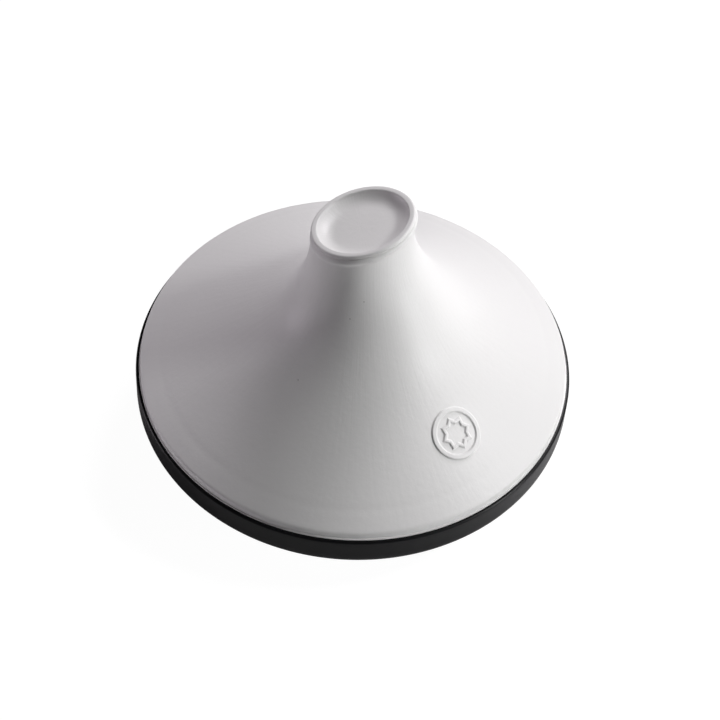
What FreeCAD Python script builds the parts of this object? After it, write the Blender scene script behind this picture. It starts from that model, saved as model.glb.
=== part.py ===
import FreeCAD, Part

import math
import os

# A round stoneware cooking dish under a tall funnel-shaped lid with a slanted, dished knob.
# Millimetres, +Z up. The origin is at the centre of the ring on which the dish stands.
# Both pieces are turned about the Z axis; only the top of the lid's neck leans.

# Dish
DISH_D = 335.0
DISH_H = 66.0
DISH_WALL = 7.5
BAND_H = 23.0
BAND_CORNER_R = 9.2
KNUCKLE_D = 272.0
KNUCKLE_H = 15.5
KNUCKLE_ROUNDING = 70.0
INNER_CORNER_R = 16.0
FLOOR_CORNER_R = 40.0
RIM_CHAMFER = 1.0
FOOT_D = 224.0
FOOT_H = 4.0
FOOT_W = 8.0
FOOT_RECESS = 3.0
FOOT_CHAMFER = 1.5
FLOOR_T = 7.5

# Lid edge, seated on the dish's flat rim
LID_INSET = 2.5
LID_WALL = 7.5
BEAD_H = 1.8
BEAD_PROUD = 0.5
SKIRT_H = 5.45
SHOULDER_R = 2.5
LIP_W = 5.0
LIP_DEPTH = 5.0
LIP_CLEARANCE = 1.5
LIP_CHAMFER = 1.2

# Flare, from the shoulder up to the collar under the knob
FLARE_EDGE_SLOPE = 30.0
FLARE_EDGE_PULL = 61.0
FLARE_NECK_PULL = 76.0
NECK_D = 76.8
LEAN_REACH = 24.0
LEAN_FADE = 1.5
LEAN_DIGITS = 3
NECK_SWING = 3.0
SECTION_COUNT = 17

# Knob, whose rim slants down towards the back left
KNOB_D = 77.6
KNOB_H = 163.0
KNOB_TILT = 17.3
KNOB_LOW_HEADING = 156.0
COLLAR_H = 10.0
COLLAR_BULGE = 0.9
COLLAR_ROOT_STEP = 3.0
CAP_T = 2.0
CAP_CHAMFER = 1.2
HOLLOW_D = 68.0
HOLLOW_FLOOR_D = 57.0
HOLLOW_DEPTH = 6.5
HOLLOW_CORNER_R = 17.5
HOLLOW_EDGE_R = 1.2

# Raised roundel on the flare, with an eight-pointed star
ROUNDEL_D = 39.0
ROUNDEL_RING_W = 3.6
ROUNDEL_HEADING = -47.7
ROUNDEL_HEIGHT = 34.6
RELIEF_H = 1.1
STAR_D = 25.0
STAR_LINE_W = 2.4

# Derived radii and heights
DISH_R = DISH_D / 2
BOWL_R = DISH_R - DISH_WALL
UNDERSIDE_Z = FOOT_RECESS
FLOOR_Z = UNDERSIDE_Z + FLOOR_T
LID_R = DISH_R - LID_INSET
SKIRT_R = LID_R - BEAD_PROUD
LIP_R = BOWL_R - LIP_CLEARANCE
LIP_INNER_R = LIP_R - LIP_W
COLLAR_ROOT_H = KNOB_H - COLLAR_H
NECK_R = NECK_D / 2
KNOB_R = KNOB_D / 2

ORIGIN = FreeCAD.Vector(0, 0, 0)
UP = FreeCAD.Vector(0, 0, 1)
ABOVE_KNOB = 40.0
SHORTEST_EDGE = 0.001
HALVINGS = 40


def rounded_outline(corners):
    """Closed wire in the XZ plane through (x, z, rounding) corners, each rounded by an arc."""
    points = [FreeCAD.Vector(x, 0, z) for x, z, _ in corners]
    spans = []
    for index, (_, _, rounding) in enumerate(corners):
        here = points[index]
        if not rounding:
            spans.append((here, None, here))
            continue
        back = (points[index - 1] - here).normalize()
        ahead = (points[(index + 1) % len(points)] - here).normalize()
        half_angle = back.getAngle(ahead) / 2
        reach = rounding / math.tan(half_angle)
        depth = rounding / math.sin(half_angle) - rounding
        middle = here + (back + ahead).normalize() * depth
        spans.append((here + back * reach, middle, here + ahead * reach))
    edges = []
    for index, (start, middle, end) in enumerate(spans):
        if middle:
            edges.append(Part.Arc(start, middle, end).toShape())
        next_start = spans[(index + 1) % len(spans)][0]
        if end.distanceToPoint(next_start) > SHORTEST_EDGE:
            edges.append(Part.makeLine(end, next_start))
    return Part.Wire(edges)


def turned(outline):
    """Solid of revolution about Z of an outline in the XZ plane."""
    return Part.Face(outline).revolve(ORIGIN, UP, 360)


def crossing(point_a, direction_a, point_b, direction_b):
    """Point where two lines in the XZ plane meet."""
    (ax, az), (ux, uz) = point_a, direction_a
    (bx, bz), (vx, vz) = point_b, direction_b
    step = ((bx - ax) * vz - (bz - az) * vx) / (ux * vz - uz * vx)
    return ax + step * ux, az + step * uz


def dish():
    """Dish: flat-rimmed upright band over a rounded belly on a foot ring."""
    foot_r = FOOT_D / 2
    foot = (foot_r, FOOT_H)
    knuckle = (KNUCKLE_D / 2, KNUCKLE_H)
    corner = (DISH_R, DISH_H - BAND_H)

    # The inside of the belly runs parallel to the outside, one wall further in
    lower = (knuckle[0] - foot[0], knuckle[1] - foot[1])
    upper = (corner[0] - knuckle[0], corner[1] - knuckle[1])
    lower_inner = inward(foot, lower)
    upper_inner = inward(corner, upper)
    inner_corner = crossing(upper_inner, upper, (BOWL_R, 0), (0, 1))
    inner_knuckle = crossing(lower_inner, lower, upper_inner, upper)
    floor_corner = crossing(lower_inner, lower, (0, FLOOR_Z), (1, 0))

    return turned(rounded_outline([
        (0, UNDERSIDE_Z, 0),
        (foot_r - FOOT_W, UNDERSIDE_Z, 0),
        (foot_r - FOOT_W, 0, 0),
        (foot_r - FOOT_CHAMFER, 0, 0),
        (foot_r, FOOT_CHAMFER, 0),
        (*foot, 0),
        (*knuckle, KNUCKLE_ROUNDING),
        (*corner, BAND_CORNER_R),
        (DISH_R, DISH_H - RIM_CHAMFER, 0),
        (DISH_R - RIM_CHAMFER, DISH_H, 0),
        (BOWL_R + RIM_CHAMFER, DISH_H, 0),
        (BOWL_R, DISH_H - RIM_CHAMFER, 0),
        (*inner_corner, INNER_CORNER_R),
        (*inner_knuckle, KNUCKLE_ROUNDING - DISH_WALL),
        (*floor_corner, FLOOR_CORNER_R),
        (0, FLOOR_Z, 0),
    ]))


def inward(point, direction):
    """The point moved one dish wall to the left of the direction, into the bowl."""
    length = math.hypot(*direction)
    return (point[0] - DISH_WALL * direction[1] / length,
            point[1] + DISH_WALL * direction[0] / length)


def flare_at(share):
    """Radius, height over the seat, and unit normal of the flare at a share of its length."""
    slope = math.radians(FLARE_EDGE_SLOPE)
    shoulder = (SKIRT_R - SHOULDER_R + SHOULDER_R * math.sin(slope),
                SKIRT_H + SHOULDER_R * math.cos(slope))
    poles = [
        shoulder,
        (shoulder[0] - FLARE_EDGE_PULL * math.cos(slope),
         shoulder[1] + FLARE_EDGE_PULL * math.sin(slope)),
        (NECK_R, COLLAR_ROOT_H - FLARE_NECK_PULL),
        (NECK_R, COLLAR_ROOT_H),
    ]
    rest = 1 - share
    weights = (rest ** 3, 3 * rest ** 2 * share, 3 * rest * share ** 2, share ** 3)
    radius, height = (sum(w * pole[axis] for w, pole in zip(weights, poles)) for axis in (0, 1))
    steps = [(b[0] - a[0], b[1] - a[1]) for a, b in zip(poles, poles[1:])]
    slants = (rest ** 2, 2 * rest * share, share ** 2)
    along_r, along_z = (sum(w * step[axis] for w, step in zip(slants, steps)) for axis in (0, 1))
    length = math.hypot(along_r, along_z)
    return radius, height, (along_z / length, -along_r / length)


def lean_at(radius):
    """Share of the knob's tilt that the flare has where it is this wide, fading outwards.

    It is rounded, so that the flare's foot has no lean left at all.
    """
    beyond = max(radius - NECK_R, 0) / LEAN_REACH
    return round(math.exp(-beyond ** LEAN_FADE), LEAN_DIGITS)


def leaning(shape, height, lean=1.0):
    """A shape drawn about the origin, tilted by a share of the knob's tilt and raised.

    Half way through its lean the neck's centre swings off the Z axis, to the knob's high side.
    """
    swing = 4 * NECK_SWING * lean * (1 - lean)
    shape.rotate(ORIGIN, FreeCAD.Vector(0, 1, 0), -KNOB_TILT * lean)
    shape.translate(FreeCAD.Vector(swing, 0, height))
    shape.rotate(ORIGIN, UP, KNOB_LOW_HEADING + 180)
    shape.translate(UP * DISH_H)
    return shape


def ring_wire(radius, depth=0.0):
    """Circle about Z, lowered by a depth, as a section for lofting."""
    return Part.Wire(Part.makeCircle(radius, FreeCAD.Vector(0, 0, -depth), UP))


def flare(inset, top_share=1.0):
    """The lid's funnel as a solid whose skin lies an inset under the outer one."""
    sections = []
    for index in range(SECTION_COUNT):
        radius, height, normal = flare_at(top_share * index / (SECTION_COUNT - 1))
        section = ring_wire(radius - inset * normal[0], inset * normal[1])
        sections.append(leaning(section, height, lean_at(radius)))
    return Part.makeLoft(sections, True)


def share_at_height(height):
    """Share of the flare's length at which it reaches a height over the seat."""
    low, high = 0.0, 1.0
    for _ in range(HALVINGS):
        middle = (low + high) / 2
        if flare_at(middle)[1] < height:
            low = middle
        else:
            high = middle
    return low


def lid_edge():
    """The lid's lip, flat seat, bead, skirt and shoulder, closed up to the flare's foot."""
    shoulder_r, shoulder_h, _ = flare_at(0)
    slope = math.radians(FLARE_EDGE_SLOPE)
    half_turn = math.tan((math.pi / 2 - slope) / 2)
    shoulder_corner = (SKIRT_R, SKIRT_H + SHOULDER_R * half_turn)
    edge = turned(rounded_outline([
        (0, -LIP_DEPTH, 0),
        (LIP_R - LIP_CHAMFER, -LIP_DEPTH, 0),
        (LIP_R, LIP_CHAMFER - LIP_DEPTH, 0),
        (LIP_R, 0, 0),
        (LID_R, 0, 0),
        (LID_R, BEAD_H, 0),
        (SKIRT_R, BEAD_H + BEAD_PROUD, 0),
        (*shoulder_corner, SHOULDER_R),
        (shoulder_r, shoulder_h, 0),
        (0, shoulder_h, 0),
    ]))
    edge.translate(UP * DISH_H)
    return edge


def lid_cavity():
    """The hollow of the lid, from inside the lip up to one wall under the knob's hollow."""
    funnel = flare(LID_WALL, share_at_height(KNOB_H - HOLLOW_DEPTH - LID_WALL))
    mouth_z = DISH_H - LIP_DEPTH
    bore = Part.makeCylinder(LIP_INNER_R, KNOB_H, FreeCAD.Vector(0, 0, mouth_z))
    funnel_foot = funnel.BoundBox.ZMin
    mouth = Part.makeCylinder(LIP_INNER_R, funnel_foot - mouth_z, FreeCAD.Vector(0, 0, mouth_z))
    return funnel.common(bore).fuse(mouth)


def collar():
    """Band under the knob's rim, tapered into the neck at its root and bulged at mid height."""
    steps = [
        (COLLAR_ROOT_H - COLLAR_ROOT_STEP, NECK_R - COLLAR_ROOT_STEP),
        (COLLAR_ROOT_H, NECK_R),
        (COLLAR_ROOT_H + COLLAR_H / 2, KNOB_R + COLLAR_BULGE),
        (KNOB_H - CAP_T / 2, KNOB_R),
    ]
    sections = [leaning(ring_wire(radius), height) for height, radius in steps]
    ruled = True
    return Part.makeLoft(sections, True, ruled)


def knob_cap():
    """Flat ring round the knob's hollow, slanted, with a chamfered outer edge."""
    cap = turned(rounded_outline([
        (0, -CAP_T, 0),
        (KNOB_R, -CAP_T, 0),
        (KNOB_R, -CAP_CHAMFER, 0),
        (KNOB_R - CAP_CHAMFER, 0, 0),
        (0, 0, 0),
    ]))
    return leaning(cap, KNOB_H)


def knob_hollow():
    """Shallow dish in the knob's top, as the solid to take away."""
    edge_r = HOLLOW_D / 2
    hollow = turned(rounded_outline([
        (0, -HOLLOW_DEPTH, 0),
        (HOLLOW_FLOOR_D / 2, -HOLLOW_DEPTH, HOLLOW_CORNER_R),
        (edge_r, 0, 0),
        (edge_r, ABOVE_KNOB, 0),
        (0, ABOVE_KNOB, 0),
    ]))
    return leaning(hollow, KNOB_H)


def star_face(radius):
    """Eight-pointed star in the XY plane, made of two squares of which one is turned."""
    squares = []
    for turn in (0, 45):
        angles = [math.radians(turn + 90 * quarter) for quarter in range(4)]
        tips = [FreeCAD.Vector(math.cos(angle), math.sin(angle), 0) * radius for angle in angles]
        squares.append(Part.Face(Part.makePolygon(tips + tips[:1])))
    return squares[0].fuse(squares[1]).removeSplitter()


def roundel():
    """Raised ring and star that follow the flare's curved skin."""
    radius, height, normal = flare_at(share_at_height(ROUNDEL_HEIGHT))
    ring_r = ROUNDEL_D / 2
    ring = Part.Face(ring_wire(ring_r)).cut(Part.Face(ring_wire(ring_r - ROUNDEL_RING_W)))
    star_r = STAR_D / 2
    star = star_face(star_r).cut(star_face(star_r - STAR_LINE_W * math.sqrt(2)))
    stamp = Part.makeCompound([ring, star])
    stamp.translate(UP * -ring_r)
    stamp = stamp.extrude(UP * ROUNDEL_D)
    stamp.rotate(ORIGIN, FreeCAD.Vector(0, 1, 0), math.degrees(math.atan2(normal[0], normal[1])))
    stamp.translate(FreeCAD.Vector(radius, 0, DISH_H + height))
    stamp.rotate(ORIGIN, UP, ROUNDEL_HEADING)
    return flare(-RELIEF_H).common(stamp)


def lid():
    """Lid: one piece of stoneware from the lip inside the dish to the slanted knob."""
    body = lid_edge().fuse([flare(0), collar(), knob_cap(), roundel()])
    body = body.cut([lid_cavity(), knob_hollow()]).removeSplitter()
    return body.makeFillet(HOLLOW_EDGE_R, [rim_edge(body)])


def rim_edge(body):
    """The edge where the knob's flat ring meets its hollow."""
    centre = FreeCAD.Vector(0, 0, DISH_H + KNOB_H)
    for edge in body.Edges:
        curve = edge.Curve
        if isinstance(curve, Part.Circle) and curve.Center.isEqual(centre, SHORTEST_EDGE):
            if abs(curve.Radius - HOLLOW_D / 2) < SHORTEST_EDGE:
                return edge
    raise ValueError("the knob has no hollow")


def main():
    os.makedirs("parts", exist_ok=True)
    pieces = {"dish": dish(), "lid": lid()}
    for name, shape in pieces.items():
        shape.exportStep(f"parts/{name}.step")
        print(name, shape.isValid(), len(shape.Solids), len(shape.Faces), round(shape.Volume / 1000))


main()
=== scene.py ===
import math

import bmesh
import bpy
from mathutils import Matrix, Vector


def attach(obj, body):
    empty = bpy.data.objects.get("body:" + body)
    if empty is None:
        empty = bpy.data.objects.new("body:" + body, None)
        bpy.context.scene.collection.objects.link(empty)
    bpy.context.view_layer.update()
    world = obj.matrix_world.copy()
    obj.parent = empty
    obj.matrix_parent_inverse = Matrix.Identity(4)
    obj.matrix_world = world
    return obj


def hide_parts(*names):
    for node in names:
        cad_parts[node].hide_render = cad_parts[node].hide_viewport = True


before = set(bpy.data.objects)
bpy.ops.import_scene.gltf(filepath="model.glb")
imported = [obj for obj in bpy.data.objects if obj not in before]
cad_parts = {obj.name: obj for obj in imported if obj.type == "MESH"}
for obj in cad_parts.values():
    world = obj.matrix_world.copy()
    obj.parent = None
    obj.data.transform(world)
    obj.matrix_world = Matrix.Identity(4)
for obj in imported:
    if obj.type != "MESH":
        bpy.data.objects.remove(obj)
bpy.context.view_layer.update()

# The dish. One piece of stoneware, turned on a wheel, glazed all over in a satin black. It has a flat
# floor on a foot ring, a rounded belly and an upright band, whose flat rim carries the lid.
MM = 0.001
ROUND_THE_AXIS = 288
ARC_STEP = math.radians(9)
LONGEST_RUN = 4 * MM
DISH_R = 167.5 * MM
DISH_H = 66 * MM
DISH_WALL = 7.5 * MM
BAND_H = 23 * MM
BAND_CORNER_R = 9.2 * MM
BELLY_R = 136 * MM
BELLY_H = 15.5 * MM
BELLY_ROUNDING = 70 * MM
FOOT_R = 112 * MM
FOOT_W = 8 * MM
FOOT_H = 4 * MM
UNDERSIDE_H = 3 * MM
FOOT_ROUNDING = 1.4 * MM
FLOOR_H = 10.5 * MM
BOWL_FLOOR_R = 98 * MM
BOWL_BELLY_R = 133.5 * MM
BOWL_BELLY_H = 22.6 * MM
BOWL_CORNER_H = 46 * MM
BOWL_CORNER_R = 16 * MM
FLOOR_CORNER_R = 40 * MM
RIM_ROUNDING = 1.6 * MM


def rounded(corners):
    """Points (radius, height) of an outline through (radius, height, rounding) corners."""
    points = [Vector(corners[0][:2])]
    for before, (*here, rounding), after in zip(corners, corners[1:], corners[2:]):
        here = Vector(here)
        back = (Vector(before[:2]) - here).normalized()
        ahead = (Vector(after[:2]) - here).normalized()
        half = back.angle(ahead) / 2
        if not rounding:
            points.append(here)
            continue
        centre = here + (back + ahead).normalized() * rounding / math.sin(half)
        start = here + back * rounding / math.tan(half) - centre
        sweep = math.pi - 2 * half
        if back.x * ahead.y - back.y * ahead.x > 0:
            sweep = -sweep
        steps = math.ceil(abs(sweep) / ARC_STEP)
        for step in range(steps + 1):
            points.append(centre + Matrix.Rotation(sweep * step / steps, 2) @ start)
    points.append(Vector(corners[-1][:2]))
    return with_runs_divided(points)


def with_runs_divided(points):
    """The same points, with more on each run that is longer than LONGEST_RUN."""
    divided = [points[0]]
    for start, end in zip(points, points[1:]):
        parts = max(1, math.ceil((end - start).length / LONGEST_RUN))
        divided += [start.lerp(end, part / parts) for part in range(1, parts + 1)]
    return divided


def turn_on_the_wheel(name, outline):
    """New piece: the outline is drawn one extruded point at a time, and spun about the Z axis."""
    bpy.ops.object.select_all(action="DESELECT")
    bpy.ops.mesh.primitive_plane_add(size=MM)
    piece = bpy.context.object
    piece.name = piece.data.name = name
    bpy.ops.object.mode_set(mode="EDIT")
    bpy.ops.mesh.select_mode(type="VERT")
    bpy.ops.mesh.merge(type="CENTER")
    bpy.ops.transform.translate(value=(outline[0].x, 0, outline[0].y))
    for here, there in zip(outline, outline[1:]):
        step = there - here
        bpy.ops.mesh.extrude_region_move(TRANSFORM_OT_translate={"value": (step.x, 0, step.y)})
    bpy.ops.mesh.select_all(action="SELECT")
    bpy.ops.mesh.spin(steps=ROUND_THE_AXIS, angle=2 * math.pi, center=(0, 0, 0), axis=(0, 0, 1))
    bpy.ops.mesh.select_all(action="SELECT")
    bpy.ops.mesh.remove_doubles(threshold=0.01 * MM)
    bpy.ops.mesh.normals_make_consistent(inside=False)
    bpy.ops.object.mode_set(mode="OBJECT")
    bpy.ops.object.shade_smooth_by_angle(angle=math.radians(50))
    return piece


dish = turn_on_the_wheel("dish_glazed", rounded([
    (0, UNDERSIDE_H, 0),
    (FOOT_R - FOOT_W, UNDERSIDE_H, FOOT_ROUNDING),
    (FOOT_R - FOOT_W, 0, FOOT_ROUNDING),
    (FOOT_R, 0, FOOT_ROUNDING),
    (FOOT_R, FOOT_H, FOOT_ROUNDING),
    (BELLY_R, BELLY_H, BELLY_ROUNDING),
    (DISH_R, DISH_H - BAND_H, BAND_CORNER_R),
    (DISH_R, DISH_H, RIM_ROUNDING),
    (DISH_R - DISH_WALL, DISH_H, RIM_ROUNDING),
    (DISH_R - DISH_WALL, BOWL_CORNER_H, BOWL_CORNER_R),
    (BOWL_BELLY_R, BOWL_BELLY_H, BELLY_ROUNDING - DISH_WALL),
    (BOWL_FLOOR_R, FLOOR_H, FLOOR_CORNER_R),
    (0, FLOOR_H, 0),
]))
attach(dish, "root")
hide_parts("dish")


class Value:
    """A shader value that sums are written with: each operator adds a Math node."""

    def __init__(self, shader, socket):
        self.shader = shader
        self.socket = socket

    def maths(self, operation, first, second):
        return self.shader.node("Math", {"operation": operation}, first, second)

    def __add__(self, other):
        return self.maths("ADD", self, other)

    def __mul__(self, other):
        return self.maths("MULTIPLY", self, other)

    def __sub__(self, other):
        return self.maths("SUBTRACT", self, other)

    def __rsub__(self, other):
        return self.maths("SUBTRACT", other, self)

    def __lt__(self, other):
        return self.maths("LESS_THAN", self, other)

    __radd__ = __add__
    __rmul__ = __mul__


class Shader:
    """A new material with a Principled BSDF, to which nodes are added."""

    def __init__(self, name):
        self.material = bpy.data.materials.new(name)
        self.material.use_nodes = True
        self.tree = self.material.node_tree
        self.surface = self.tree.nodes["Principled BSDF"]

    def node(self, kind, settings=None, *values, output=0, **named):
        """A node of that type, with its settings made first, then its sockets set or linked."""
        node = self.tree.nodes.new("ShaderNode" + kind)
        for setting, choice in (settings or {}).items():
            setattr(node, setting, choice)
        for key, value in [*enumerate(values), *named.items()]:
            self.put(node.inputs[key if isinstance(key, int) else key.replace("_", " ")], value)
        return Value(self, node.outputs[output])

    def put(self, socket, value):
        if isinstance(value, Value):
            self.tree.links.new(value.socket, socket)
        else:
            socket.default_value = value

    def finish(self, **sockets):
        """Sets or links sockets of the Principled BSDF."""
        for name, value in sockets.items():
            self.put(self.surface.inputs[name.replace("_", " ")], value)
        return self.material


BLACK = (0.007, 0.007, 0.008, 1)
BLACK_ROUGHNESS = 0.30
BLACK_REFLECTION = 0.2
CLOUD_ROUGHNESS = 0.08
BLACK_PEEL = 0.25
PEEL_H = 0.05 * MM
black = Shader("satin_black_glaze")
place = black.node("TexCoord", output="Object")
cloud = black.node("TexNoise", {}, Vector=place, Scale=25.0, Detail=3.0)
peel = black.node("TexNoise", {}, Vector=place, Scale=700.0, Detail=2.0)
dish.data.materials.clear()
dish.data.materials.append(black.finish(
    Base_Color=BLACK,
    Roughness=cloud * CLOUD_ROUGHNESS + BLACK_ROUGHNESS,
    Specular_IOR_Level=BLACK_REFLECTION,
    Normal=black.node("Bump", {}, Strength=BLACK_PEEL, Distance=PEEL_H, Height=peel),
))

# The lid. One piece of stoneware under a satin white glaze. It is a funnel that flares from a low
# skirt up to a slanted knob, which is hollowed like a small saucer. It only rests on the dish's rim.
SEAT_H = DISH_H
LID_R = 165 * MM
LID_WALL = 7.5 * MM
BEAD_H = 1.3 * MM
BEAD_PROUD = 1.1 * MM
BEAD_ROUNDING = 0.35 * MM
SKIRT_R = LID_R - BEAD_PROUD
SKIRT_H = 5.45 * MM
SHOULDER_R = 2.5 * MM
LIP_R = 158.5 * MM
LIP_W = 5 * MM
LIP_DEPTH = 5 * MM
LIP_ROUNDING = 1.4 * MM
FLARE_EDGE_SLOPE = math.radians(30)
FLARE_EDGE_PULL = 61 * MM
FLARE_NECK_PULL = 76 * MM
FLARE_RINGS = 96
INNER_RING_STEP = 3
RIPPLE_R = 149 * MM
RIPPLE_W = 2.8 * MM
RIPPLE_DEPTH = 0.16 * MM
NECK_R = 38.4 * MM
LEAN_REACH = 24 * MM
LEAN_FADE = 1.5
NECK_SWING = 3 * MM
KNOB_R = 38.8 * MM
KNOB_H = 163 * MM
KNOB_TILT = math.radians(17.3)
KNOB_LOW_HEADING = math.radians(156)
COLLAR_H = 10 * MM
COLLAR_BULGE = 1.3 * MM
COLLAR_RINGS = 12
RIM_EDGE_ROUNDING = 1.9 * MM
RIM_SIDE_H = 0.2 * MM
RIM_GROOVE_H = 2.9 * MM
RIM_GROOVE_R = 37.4 * MM
HOLLOW_R = 34.1 * MM
HOLLOW_FLOOR_R = 28.5 * MM
HOLLOW_DEPTH = 6.5 * MM
HOLLOW_CORNER_R = 15.5 * MM
HOLLOW_LIP_R = 33.3 * MM
HOLLOW_LIP_H = 1.5 * MM
HOLLOW_EDGE_R = 1.3 * MM
CAVITY_TOP_H = KNOB_H - HOLLOW_DEPTH - LID_WALL
LEAST_LEAN = 0.001
PLACE_STEP = 0.02 * MM


def flare_at(share):
    """Point (radius, height over the seat) and normal of the flare at a share of its length."""
    shoulder = Vector((SKIRT_R - SHOULDER_R + SHOULDER_R * math.sin(FLARE_EDGE_SLOPE),
                       SKIRT_H + SHOULDER_R * math.cos(FLARE_EDGE_SLOPE)))
    uphill = Vector((-math.cos(FLARE_EDGE_SLOPE), math.sin(FLARE_EDGE_SLOPE)))
    root = Vector((NECK_R, KNOB_H - COLLAR_H))
    poles = [shoulder, shoulder + uphill * FLARE_EDGE_PULL, root - Vector((0, FLARE_NECK_PULL)), root]
    rest = 1 - share
    point = (poles[0] * rest ** 3 + poles[1] * 3 * rest ** 2 * share
             + poles[2] * 3 * rest * share ** 2 + poles[3] * share ** 3)
    along = ((poles[1] - poles[0]) * rest ** 2 + (poles[2] - poles[1]) * 2 * rest * share
             + (poles[3] - poles[2]) * share ** 2).normalized()
    return point, Vector((along.y, -along.x))


def lean_at(radius):
    """Share of the knob's tilt that the flare has where it is this wide."""
    return math.exp(-(max(radius - NECK_R, 0) / LEAN_REACH) ** LEAN_FADE)


# Each ring of the lid: its place on the upright outline, its lean, and the height it leans about
rings = []
for point in rounded([
        (0, KNOB_H - HOLLOW_DEPTH, 0),
        (HOLLOW_FLOOR_R, KNOB_H - HOLLOW_DEPTH, HOLLOW_CORNER_R),
        (HOLLOW_LIP_R, KNOB_H - HOLLOW_LIP_H, 0),
        (HOLLOW_R, KNOB_H, HOLLOW_EDGE_R),
        (KNOB_R, KNOB_H, RIM_EDGE_ROUNDING),
        (KNOB_R, KNOB_H - RIM_EDGE_ROUNDING - RIM_SIDE_H, 0),
        (RIM_GROOVE_R, KNOB_H - RIM_GROOVE_H, 0)]):
    rings.append((point, 1, KNOB_H))
for index in range(1, COLLAR_RINGS):
    share = index / COLLAR_RINGS
    height = KNOB_H - RIM_GROOVE_H - (COLLAR_H - RIM_GROOVE_H) * share
    bulge = COLLAR_BULGE * math.sin(math.pi * share)
    rings.append((Vector((NECK_R + bulge, height)), 1, KNOB_H + (height - KNOB_H) * share))
for index in range(FLARE_RINGS, 0, -1):
    point, normal = flare_at(index / FLARE_RINGS)
    ripple = RIPPLE_DEPTH * math.exp(-((point.x - RIPPLE_R) / RIPPLE_W) ** 2)
    rings.append((point - normal * ripple, lean_at(point.x), point.y))
shoulder, _ = flare_at(0)
shoulder_corner_h = SKIRT_H + SHOULDER_R * math.tan((math.pi / 2 - FLARE_EDGE_SLOPE) / 2)
for point in rounded([
        (*shoulder, 0),
        (SKIRT_R, shoulder_corner_h, SHOULDER_R),
        (SKIRT_R, BEAD_H, BEAD_ROUNDING),
        (LID_R, BEAD_H, BEAD_ROUNDING),
        (LID_R, 0, BEAD_ROUNDING),
        (LIP_R, 0, BEAD_ROUNDING),
        (LIP_R, -LIP_DEPTH, LIP_ROUNDING),
        (LIP_R - LIP_W, -LIP_DEPTH, LIP_ROUNDING),
        (LIP_R - LIP_W, SKIRT_H, 0)]):
    rings.append((point, 0, 0))
for index in range(0, FLARE_RINGS, INNER_RING_STEP):
    point, normal = flare_at(index / FLARE_RINGS)
    inner = point - normal * LID_WALL
    if inner.x < LIP_R - LIP_W and point.y < CAVITY_TOP_H:
        rings.append((inner, lean_at(point.x), point.y))
rings.append((Vector((0, rings[-1][0].y)), *rings[-1][1:]))


def lean(piece, rings):
    """Tilts each ring of the piece by its share of the knob's tilt, and swings it to the high side."""
    bpy.ops.object.select_all(action="DESELECT")
    piece.select_set(True)
    bpy.context.view_layer.objects.active = piece
    bpy.ops.object.mode_set(mode="EDIT")
    bpy.ops.mesh.select_all(action="DESELECT")
    upright = bmesh.from_edit_mesh(piece.data)
    members = {}
    for index, vertex in enumerate(upright.verts):
        place = (round(vertex.co.to_2d().length / PLACE_STEP), round(vertex.co.z / PLACE_STEP))
        members.setdefault(place, []).append(index)
    for point, share, pivot_h in rings:
        if share < LEAST_LEAN:
            continue
        bpy.ops.mesh.select_all(action="DESELECT")
        mesh = bmesh.from_edit_mesh(piece.data)
        mesh.verts.ensure_lookup_table()
        across, up = round(point.x / PLACE_STEP), round(point.y / PLACE_STEP)
        for near_across in (across - 1, across, across + 1):
            for near_up in (up - 1, up, up + 1):
                for index in members.pop((near_across, near_up), []):
                    mesh.verts[index].select = True
        mesh.select_flush_mode()
        bpy.ops.transform.rotate(value=KNOB_TILT * share, orient_axis="Y", center_override=(0, 0, pivot_h))
        bpy.ops.transform.translate(value=(4 * NECK_SWING * share * (1 - share), 0, 0))
    bpy.ops.object.mode_set(mode="OBJECT")


lid = turn_on_the_wheel("lid_glazed", [Vector(point) for point, _, _ in rings])
lean(lid, rings)
lid.location.z = SEAT_H
lid.rotation_euler.z = KNOB_LOW_HEADING + math.pi
bpy.ops.object.transform_apply(location=True, rotation=True)
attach(lid, "root")
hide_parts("lid")

WHITE = (0.80, 0.795, 0.79)
SPECKS = [
    Vector((4.9, -43.5, 190.9)) * MM,
    Vector((-4.3, -48.4, 176.7)) * MM,
    Vector((-39.1, -70.2, 129.3)) * MM,
]
SPECK_R = 0.45 * MM
SPECK_DARKNESS = 0.5
WHITE_ROUGHNESS = 0.40
RUNS_ROUND = 33.0
RUNS_UP = 16.0
PEBBLE_MM = 0.10
RUNS_MM = 0.09
PEEL_MM = 0.03
white = Shader("satin_white_glaze")
place = white.node("TexCoord", output="Object")
cloud = white.node("TexNoise", {}, Vector=place, Scale=14.0, Detail=3.0)
peel = white.node("TexNoise", {}, Vector=place, Scale=600.0, Detail=2.0)
pebble = white.node("TexNoise", {}, Vector=place, Scale=240.0, Detail=2.0)

# Runs of glaze down the flare: noise that is fine round the lid and long from top to bottom
outward = white.node("VectorMath", {"operation": "MULTIPLY"}, place, (1, 1, 0))
outward = white.node("VectorMath", {"operation": "NORMALIZE"}, outward)
upward = white.node("VectorMath", {"operation": "MULTIPLY"}, place, (0, 0, RUNS_UP))
along = white.node(
    "VectorMath", {"operation": "MULTIPLY_ADD"}, outward, (RUNS_ROUND, RUNS_ROUND, 0), upward)
runs = white.node("TexNoise", {}, Vector=along, Scale=1.0, Detail=3.0)

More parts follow.
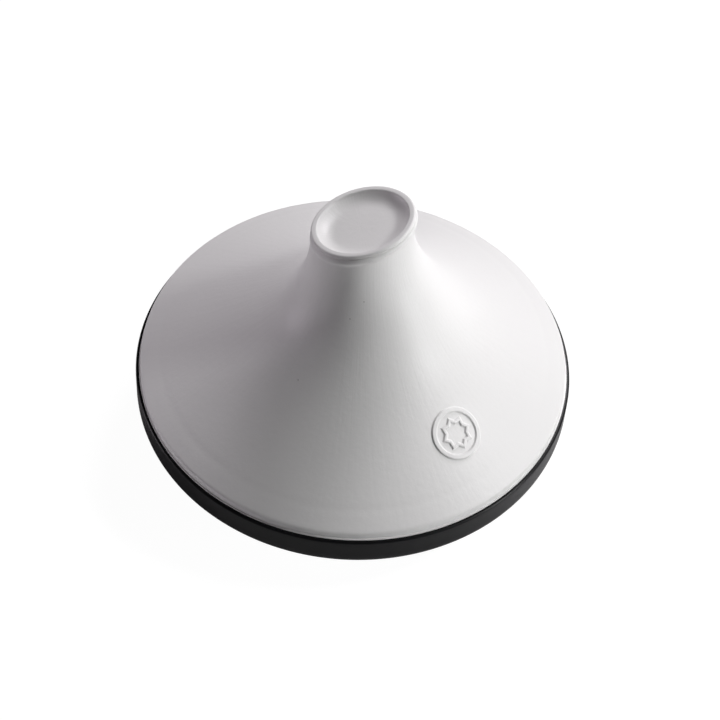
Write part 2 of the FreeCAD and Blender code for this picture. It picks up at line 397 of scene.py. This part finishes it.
# Three pinholes in the glaze, where a grain of the clay shows dark
pinholes = 0
for speck in SPECKS:
    away = white.node("VectorMath", {"operation": "DISTANCE"}, place, speck, output="Value")
    pinholes = pinholes + (away < SPECK_R)
lid.data.materials.clear()
lid.data.materials.append(white.finish(
    Base_Color=white.node(
        "VectorMath", {"operation": "SCALE"}, WHITE, Scale=1 - pinholes * SPECK_DARKNESS),
    Roughness=cloud * CLOUD_ROUGHNESS + WHITE_ROUGHNESS,
    Normal=white.node(
        "Bump", {}, Strength=1.0, Distance=MM,
        Height=pebble * PEBBLE_MM + runs * RUNS_MM + peel * PEEL_MM),
))

# The roundel. A round mark moulded in one with the lid, low on the flare at its front right: a raised
# ring round an eight-pointed star, with the soft edges that a thick glaze leaves.
ROUNDEL_R = 19.5 * MM
ROUNDEL_RING_W = 3.6 * MM
ROUNDEL_HEADING = math.radians(-47.7)
ROUNDEL_H = 34.6 * MM
RELIEF_H = 1.1 * MM
STAR_R = 12.5 * MM
STAR_LINE_W = 2.4 * MM
EDGE_SOFTNESS = 1.2 * MM
FINE_CUTS = 7
FLARE_SAMPLES = 1000
roundel_share = min(range(FLARE_SAMPLES), key=lambda index: abs(
    flare_at(index / FLARE_SAMPLES)[0].y - ROUNDEL_H)) / FLARE_SAMPLES
point, normal = flare_at(roundel_share)
heading = Vector((math.cos(ROUNDEL_HEADING), math.sin(ROUNDEL_HEADING), 0))
roundel_place = heading * point.x + Vector((0, 0, SEAT_H + point.y))
roundel_out = heading * normal.x + Vector((0, 0, normal.y))
roundel_across = Vector((-heading.y, heading.x, 0))
roundel_up = roundel_out.cross(roundel_across)


def on_roundel(place):
    """Offsets of a place from the roundel's centre: across it, up the flare, and off its plane."""
    offset = place - roundel_place
    return offset.dot(roundel_across), offset.dot(roundel_up), offset.dot(roundel_out)


def relief_at(across, up):
    """Share of the relief's height at a place on the roundel."""
    radius = math.hypot(across, up)
    in_ring = min(ROUNDEL_R - radius, radius - ROUNDEL_R + ROUNDEL_RING_W)
    square_half = STAR_R / math.sqrt(2)
    in_square = square_half - max(abs(across), abs(up))
    in_turned_square = square_half - max(abs(across + up), abs(across - up)) / math.sqrt(2)
    in_star = max(in_square, in_turned_square)
    inside = max(in_ring, min(in_star, STAR_LINE_W - in_star))
    rise = min(max(inside / EDGE_SOFTNESS + 0.5, 0), 1)
    return rise * rise * (3 - 2 * rise)


bpy.ops.object.mode_set(mode="EDIT")
bpy.ops.mesh.select_mode(type="FACE")
bpy.ops.mesh.select_all(action="DESELECT")
mesh = bmesh.from_edit_mesh(lid.data)
for face in mesh.faces:
    across, up, off = on_roundel(face.calc_center_median())
    if abs(off) < LID_WALL / 2 and math.hypot(across, up) < ROUNDEL_R + LONGEST_RUN / 2:
        face.select = True
mesh.select_flush_mode()
bpy.ops.mesh.subdivide(number_cuts=FINE_CUTS, smoothness=1.0)
bpy.ops.object.mode_set(mode="OBJECT")
relief = lid.vertex_groups.new(name="roundel_relief")
for vertex in lid.data.vertices:
    across, up, off = on_roundel(vertex.co)
    if abs(off) < LID_WALL / 2 and math.hypot(across, up) < ROUNDEL_R + EDGE_SOFTNESS:
        relief.add([vertex.index], relief_at(across, up), "REPLACE")
raising = lid.modifiers.new("roundel", "DISPLACE")
raising.strength = RELIEF_H
raising.mid_level = 0
raising.vertex_group = relief.name
bpy.ops.object.modifier_apply(modifier=raising.name)
lid.vertex_groups.clear()

# The floor is a plain pale sheet that reaches past the picture. To the camera it shows white by
# itself, so that no lamp has to burn the object out, and it still takes the object's soft shadow.
FLOOR_SIZE = 14.0
PAPER = (0.8, 0.8, 0.8, 1)
GLOW = 1.14
GLOW_SHARE = 0.85
bpy.ops.object.select_all(action="DESELECT")
bpy.ops.mesh.primitive_plane_add(size=FLOOR_SIZE)
floor = bpy.context.object
floor.name = "studio_floor"
paper = Shader("white_paper")
seen = paper.node("LightPath", output="Is Camera Ray")
lit = paper.node("BsdfDiffuse", Color=PAPER)
glow = paper.node("Emission", Color=(1, 1, 1, 1), Strength=GLOW)
paper.tree.links.new(
    paper.node("MixShader", {}, seen * GLOW_SHARE, lit, glow).socket,
    paper.tree.nodes["Material Output"].inputs["Surface"])
floor.data.materials.append(paper.material)

# The studio. Soft lamps stand round the table, the brightest at the right and behind. Each is a square
# sheet of light that looks at the middle of the lid. A weak and narrower one fills the left flank.
ROOM_LIGHT = 0.005
LID_MIDDLE = Vector((0, 0, 0.12))
LEFT_FLANK = Vector((-0.13, -0.09, 0.06))


def soft_lamp(
        name, azimuth, elevation, distance, size, power, colour=(1, 1, 1), aim=LID_MIDDLE, spread=180):
    """Square lamp, turned towards aim. Azimuth 0 is in front of the object, 90 at its right."""
    data = bpy.data.lights.new(name, "AREA")
    data.size = size
    data.energy = power
    data.color = colour
    data.spread = math.radians(spread)
    lamp = bpy.data.objects.new(name, data)
    bpy.context.collection.objects.link(lamp)
    across, up = math.radians(azimuth), math.radians(elevation)
    away = Vector((math.sin(across) * math.cos(up), -math.cos(across) * math.cos(up), math.sin(up)))
    lamp.location = aim + away * distance
    lamp.rotation_euler = away.to_track_quat("Z", "Y").to_euler()


soft_lamp("key_right", 85, 46, 1.8, 0.3, 12.5)
soft_lamp("low_right", 71, 10, 1.8, 0.5, 12.5)
soft_lamp("back", 161, 42, 1.8, 0.5, 16.5, (1, 0.965, 1))
soft_lamp("back_right", 140, 40, 1.8, 0.5, 3)
soft_lamp("fill_left", 262, 6, 1.4, 0.6, 0.65, (1, 0.92, 1), aim=LEFT_FLANK, spread=50)

world = bpy.data.worlds.new("white_room")
bpy.context.scene.world = world
world.use_nodes = True
tree = world.node_tree
path = tree.nodes.new("ShaderNodeLightPath")
strength = tree.nodes.new("ShaderNodeMapRange")
strength.inputs["To Min"].default_value = ROOM_LIGHT
strength.inputs["To Max"].default_value = 1.0
tree.links.new(path.outputs["Is Camera Ray"], strength.inputs["Value"])
tree.links.new(strength.outputs["Result"], tree.nodes["Background"].inputs["Strength"])
tree.nodes["Background"].inputs["Color"].default_value = (1, 1, 1, 1)

# The camera looks down on the table from the front, turned a little so that the object leans to the
# right in the picture.
CAMERA_AIM = Vector((0.00497, 0, 0.06947))
CAMERA_DISTANCE = 1.65
CAMERA_ELEVATION = math.radians(51.5)
CAMERA_ROLL = math.radians(4.0)
CAMERA_LENS = 106.91
camera_data = bpy.data.cameras.new("camera")
camera_data.lens = CAMERA_LENS
camera = bpy.data.objects.new("camera", camera_data)
bpy.context.collection.objects.link(camera)
bpy.context.scene.camera = camera
back = Vector((0, -math.cos(CAMERA_ELEVATION), math.sin(CAMERA_ELEVATION)))
camera.location = CAMERA_AIM + back * CAMERA_DISTANCE
camera.rotation_euler = (
    back.to_track_quat("Z", "Y") @ Matrix.Rotation(CAMERA_ROLL, 3, "Z").to_quaternion()).to_euler()
bpy.context.scene.view_settings.view_transform = "Standard"
